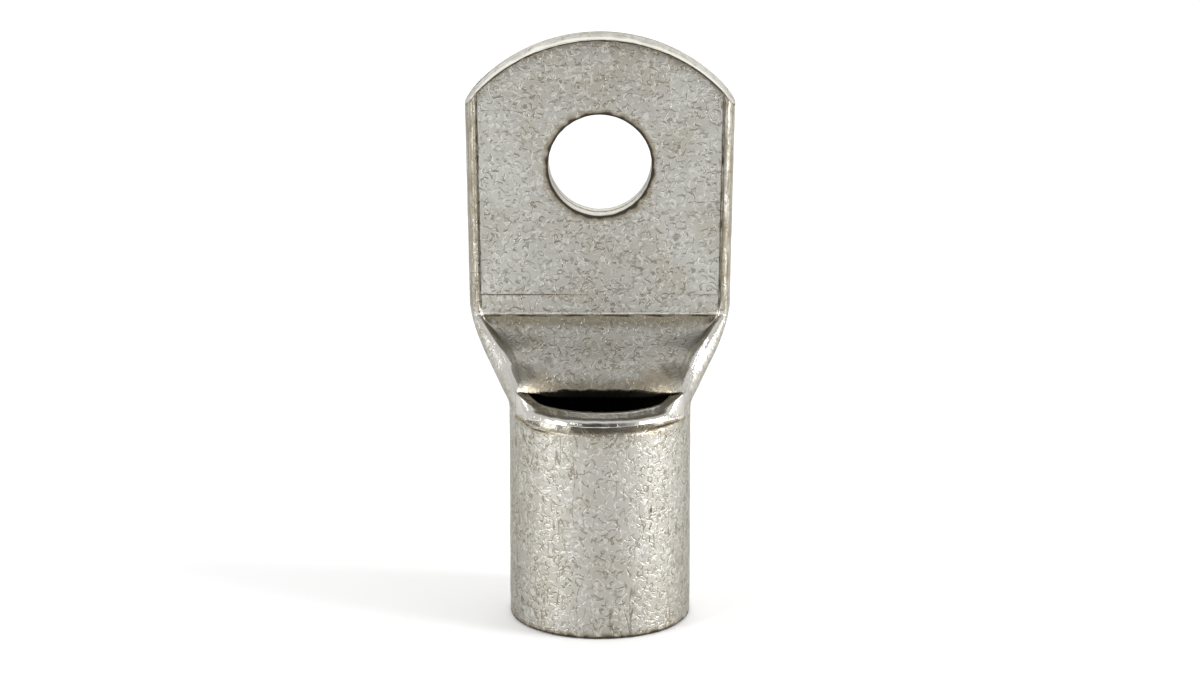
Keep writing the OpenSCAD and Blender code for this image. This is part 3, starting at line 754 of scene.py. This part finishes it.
class Nodes:
    """Builds a node tree step by step; settings and inputs are given together."""

    def __init__(self, tree):
        self.tree = tree

    def put(self, kind, inputs, **settings):
        """New node, whose inputs are given as values or as sockets to link."""
        n = self.tree.nodes.new(kind)
        for k, v in settings.items():
            setattr(n, k, v)
        for k, v in inputs.items():
            if isinstance(v, bpy.types.NodeSocket):
                self.tree.links.new(v, n.inputs[k])
            else:
                n.inputs[k].default_value = v
        return n

    def calc(self, operation, a, b=0.0, c=0.0):
        """Sum on plain values."""
        return self.put("ShaderNodeMath", {0: a, 1: b, 2: c}, operation=operation).outputs[0]

    def turn(self, operation, a, b=(0, 0, 0), c=(0, 0, 0)):
        """Sum on vectors."""
        n = self.put("ShaderNodeVectorMath", {0: a, 1: b, 2: c}, operation=operation)
        return n.outputs["Value" if operation in ("LENGTH", "DISTANCE", "DOT_PRODUCT") else "Vector"]

    def step(self, v, low, high, to_low=0.0, to_high=1.0):
        """Smooth step of a value, from to_low at low to to_high at high."""
        ends = {"Value": v, "From Min": low, "From Max": high, "To Min": to_low, "To Max": to_high}
        return self.put("ShaderNodeMapRange", ends, interpolation_type="SMOOTHSTEP").outputs[0]

    def tint(self, fac, a, b):
        """Blend of two colours."""
        return self.put("ShaderNodeMix", {0: fac, 6: a, 7: b}, data_type="RGBA").outputs[2]


class Finish(Nodes):
    """A surface finish on object coordinates in millimetres."""

    def __init__(self, name):
        self.material = bpy.data.materials.new(name)
        self.material.use_nodes = True
        super().__init__(self.material.node_tree)
        self.shader = self.tree.nodes["Principled BSDF"]
        where = self.put("ShaderNodeTexCoord", {}).outputs["Object"]
        self.place = self.turn("MULTIPLY", where, (1000, 1000, 1000))

    def noise(self, scale, detail=1.0, shift=(0, 0, 0), stretch=(1, 1, 1)):
        """Soft random clouds."""
        where = self.turn("MULTIPLY_ADD", self.place, stretch, shift)
        inputs = {"Vector": where, "Scale": scale, "Detail": detail}
        return self.put("ShaderNodeTexNoise", inputs).outputs["Fac"]

    def channel(self, name):
        """Value kept at the piece's points."""
        return self.put("ShaderNodeAttribute", {}, attribute_name=name).outputs["Fac"]

    def curls(self, pitch, radius, width, length, shift):
        """Short curved strokes, one to a cell.

        Each is the distance to a ball of the given radius, set beside the cell's middle.
        """
        loose = {"Vector": self.place, "Scale": 0.9 / pitch, "Detail": 1.0}
        warp = self.turn("SUBTRACT", self.put("ShaderNodeTexNoise", loose).outputs["Color"], (0.5, 0.5, 0.5))
        spot = self.turn("ADD", self.turn("MULTIPLY_ADD", warp, (0.9 * pitch,) * 3, self.place), shift)
        cell = self.put("ShaderNodeTexVoronoi", {"Vector": spot, "Scale": 1 / pitch, "Randomness": 1.0})
        from_middle = self.turn("SUBTRACT", spot, cell.outputs["Position"])
        way = self.turn("NORMALIZE", self.turn("SUBTRACT", cell.outputs["Color"], (0.5, 0.5, 0.5)))
        ball = self.turn("LENGTH", self.turn("MULTIPLY_ADD", way, (radius,) * 3, from_middle))
        off = self.calc("ABSOLUTE", self.calc("SUBTRACT", ball, radius))
        fade = self.step(cell.outputs["Distance"], 0.6 * length, length, 1.0, 0.0)
        return self.calc("MULTIPLY", self.step(off, 0.35 * width, width, 1.0, 0.0), fade)

    def most(self, first, *others):
        """Greatest of any number of values."""
        for v in others:
            first = self.calc("MAXIMUM", first, v)
        return first

    def product(self, first, *others):
        """Product of any number of values."""
        for v in others:
            first = self.calc("MULTIPLY", first, v)
        return first

    def away(self, v, middle):
        """Distance of a value from a middle."""
        return self.calc("ABSOLUTE", self.calc("SUBTRACT", v, middle))


def strokes(f, sets, dull, over, patch):
    """Greatest of some sets of curly strokes, only where the tin is dull, and stronger in some patches."""
    strongest = f.most(*(f.curls(*one) for one in sets))
    return f.product(strongest, dull, f.step(patch, *over))


def drawn_marks(f, across, dull):
    """Brown specks, fine upright lines on the barrel and one crack down it."""
    spots = {"Vector": f.place, "Scale": 1.1, "Randomness": 1.0}
    spot = f.put("ShaderNodeTexVoronoi", spots).outputs["Distance"]
    speck = f.product(f.step(spot, 0.06, 0.12, 1.0, 0.0), f.step(f.noise(0.5), 0.42, 0.56), dull)
    upright = f.away(f.noise(1.0, 1.0, stretch=(0.9, 0.9, 0.1)), 0.5)
    on_barrel = f.step(across[2], 23.0, 26.0, 1.0, 0.0)
    lines = f.product(f.step(upright, 0.006, 0.018, 1.0, 0.0), f.step(f.noise(0.6, 1.0), 0.5, 0.6), on_barrel)
    wobble = f.calc("MULTIPLY_ADD", f.calc("SUBTRACT", f.noise(0.5, 3.0), 0.5), 1.6, CRACK_X)
    thin = f.step(f.away(across[0], wobble), 0.03, 0.09, 1.0, 0.0)
    length = f.step(f.away(across[2], CRACK_Z), CRACK_HALF, CRACK_END, 1.0, 0.0)
    in_front = f.step(across[1], -1.0, 0.0, 1.0, 0.0)
    crack = f.product(thin, length, in_front, f.step(f.noise(1.1), 0.4, 0.5))
    return f.most(speck, f.calc("MULTIPLY", lines, 0.6), crack)


def uneven_grime_and_shade(f, across, grime_and_shade):
    """Grime and painted shade made patchy: by clouds, and by upright streaks along the side folds."""
    height = f.step(across[2], 31.0, 33.0)
    on_fold = f.calc("MULTIPLY", f.step(f.calc("ABSOLUTE", across[0]), 12.7, 13.2), height)
    streaks = f.noise(1.0, 2.0, stretch=(3.6, 3.6, 0.3))
    uneven = f.put("ShaderNodeMix", {0: on_fold, 2: f.noise(1.6, 3.0), 3: streaks}).outputs[0]
    strength = f.step(on_fold, 0.0, 1.0, 0.6, 1.5)
    return f.calc("MULTIPLY_ADD", f.calc("SUBTRACT", uneven, 0.5), strength, grime_and_shade)


def tinned_copper():
    """Dull tin plating, smooth where it is burnished.

    Curly drawn strokes, light beside dark, with brown specks and tarnish. The burnished colour also paints
    highlights, and tarnish and dirt also paint shade in creases, crevices, hollows and under edges.
    """
    f = Finish("tinned_copper")
    burnish_and_highlight, grime_and_shade = f.channel("burnish_and_highlight"), f.channel("grime_and_shade")
    dull = f.step(burnish_and_highlight, 0.1, 0.8, 1.0, 0.25)
    patch = f.noise(0.5, 2.0)
    dark = strokes(f, DARK_CURLS, dull, (0.3, 0.65, 0.45, 1.0), patch)
    light = strokes(f, LIGHT_CURLS, dull, (0.35, 0.7, 1.0, 0.6), patch)
    across = f.put("ShaderNodeSeparateXYZ", {0: f.place}).outputs
    side = f.step(f.calc("ABSOLUTE", across[0]), 1.0, 13.0)
    marks = drawn_marks(f, across, dull)
    patchy = uneven_grime_and_shade(f, across, grime_and_shade)

    base = f.tint(f.calc("MULTIPLY", side, f.step(across[2], 30.0, 33.0)), BARE, BARE_SIDE)
    base = f.tint(f.step(f.noise(0.2, 3.0), 0.4, 0.7, 0.0, 0.5), base, CLOUD)
    base = f.tint(f.calc("MULTIPLY", light, 0.6), base, LIGHT_STROKE)
    base = f.tint(f.calc("MULTIPLY", dark, 0.62), base, DARK_STROKE)
    base = f.tint(f.calc("MULTIPLY", marks, 0.85), base, SPECK)
    # burnished tin, and painted highlight where the channel carries it
    base = f.tint(f.step(burnish_and_highlight, 0.2, 0.9, 0.0, 0.7), base, BURNISHED_AND_HIGHLIGHT)
    # tarnish and dirt, and painted shade where the channel carries it
    base = f.tint(f.step(patchy, 0.02, 0.5, 0.0, 0.75), base, TARNISH_AND_SHADE)
    base = f.tint(f.step(patchy, 0.45, 1.0, 0.0, 0.95), base, DIRT_AND_SHADE)

    darkening = f.calc("MULTIPLY", f.step(patchy, 0.2, 1.0), 0.35)
    rough = f.calc("ADD", f.step(burnish_and_highlight, 0.1, 0.9, 0.41, 0.18), darkening)
    height = f.calc("SUBTRACT", f.calc("MULTIPLY", light, 0.5), f.calc("MAXIMUM", dark, marks))
    height = f.calc("ADD", height, f.calc("MULTIPLY", f.noise(4.0, 3.0), 0.6))
    bump = f.put("ShaderNodeBump", {"Height": height, "Strength": 0.7, "Distance": 0.00004})
    f.tree.links.new(base, f.shader.inputs["Base Color"])
    f.tree.links.new(rough, f.shader.inputs["Roughness"])
    f.tree.links.new(bump.outputs[0], f.shader.inputs["Normal"])
    f.tree.links.new(f.step(patchy, 0.3, 0.9, 1.0, 0.3), f.shader.inputs["Metallic"])
    f.shader.inputs["Specular Tint"].default_value = (0.62, 0.62, 0.6, 1)
    return f.material


points, faces = lug_mesh()
places, channels = points[:, :3], points[:, 3:]
lug = make_piece("tinned_lug", hand_worn(places, faces, channels), faces, channels)
lug.data.materials.append(tinned_copper())
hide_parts("cable_lug")
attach(lug, "root")

floor_mesh = bpy.data.meshes.new("floor")
floor_mesh.from_pydata([(x * FLOOR_HALF, y * FLOOR_HALF, 0) for x, y in ((-1, -1), (1, -1), (1, 1), (-1, 1))],
                       [], [(0, 1, 2, 3)])
floor = bpy.data.objects.new("floor", floor_mesh)
bpy.context.collection.objects.link(floor)
pale = Finish("pale_floor")
pale.shader.inputs["Base Color"].default_value = (0.93, 0.93, 0.93, 1)
pale.shader.inputs["Roughness"].default_value = 0.95
pale.shader.inputs["Specular IOR Level"].default_value = 0.0
floor_mesh.materials.append(pale.material)


def softbox(name, azimuth, height, size, power, distance=0.6):
    """Area light at a bearing from the front, aimed at the lug's middle."""
    light = bpy.data.lights.new(name, "AREA")
    light.shape, light.size, light.size_y = "RECTANGLE", size[0], size[1]
    light.energy = power
    o = bpy.data.objects.new(name, light)
    a = math.radians(azimuth)
    spot = np.array([math.sin(a) * distance, -math.cos(a) * distance, height])
    o.location = spot
    aim = np.array([0, 0, LUG_MIDDLE]) - spot
    pitch = math.atan2(math.hypot(aim[0], aim[1]), -aim[2])
    o.rotation_euler = (pitch, 0, math.atan2(aim[0], -aim[1]) + math.pi)
    o.visible_camera = False
    bpy.context.collection.objects.link(o)


def studio_world():
    """Even white room, dimmer behind the camera where the lug's front looks."""
    world = bpy.data.worlds.new("studio")
    world.use_nodes = True
    w = Nodes(world.node_tree)
    way = w.put("ShaderNodeTexCoord", {}).outputs["Generated"]
    level = ROOM
    for azimuth, height, wide, core, middle in PATCHES:
        a, h = math.radians(azimuth), math.radians(height)
        aim = (math.sin(a) * math.cos(h), -math.cos(a) * math.cos(h), math.sin(h))
        outer, inner = math.cos(math.radians(wide)), math.cos(math.radians(core))
        near = w.step(w.turn("DOT_PRODUCT", way, aim), outer, inner, 1.0, middle)
        level = w.calc("MULTIPLY", level, near)
    w.tree.links.new(level, world.node_tree.nodes["Background"].inputs[1])
    world.node_tree.nodes["Background"].inputs[0].default_value = (1, 1, 1, 1)
    return world


bpy.context.scene.world = studio_world()
bpy.context.scene.view_settings.view_transform = "Standard"
softbox("left_box", azimuth=-58, height=0.18, size=(0.28, 0.5), power=2.8)
softbox("right_box", azimuth=74, height=0.18, size=(0.24, 0.5), power=4.3)
softbox("back_box", azimuth=180, height=0.3, size=(0.9, 0.5), power=1.6, distance=0.7)

TILT, REACH, AIM = math.radians(14.84), 0.3734, 0.03064
lens = bpy.data.cameras.new("camera")
lens.lens, lens.sensor_width = 105.0, 36.0
lens.clip_start, lens.clip_end = 0.01, 20.0
eye = bpy.data.objects.new("camera", lens)
eye.location = (0, -REACH * math.cos(TILT), AIM + REACH * math.sin(TILT))
eye.rotation_euler = (math.pi / 2 - TILT, 0, 0)
bpy.context.collection.objects.link(eye)
bpy.context.scene.camera = eye
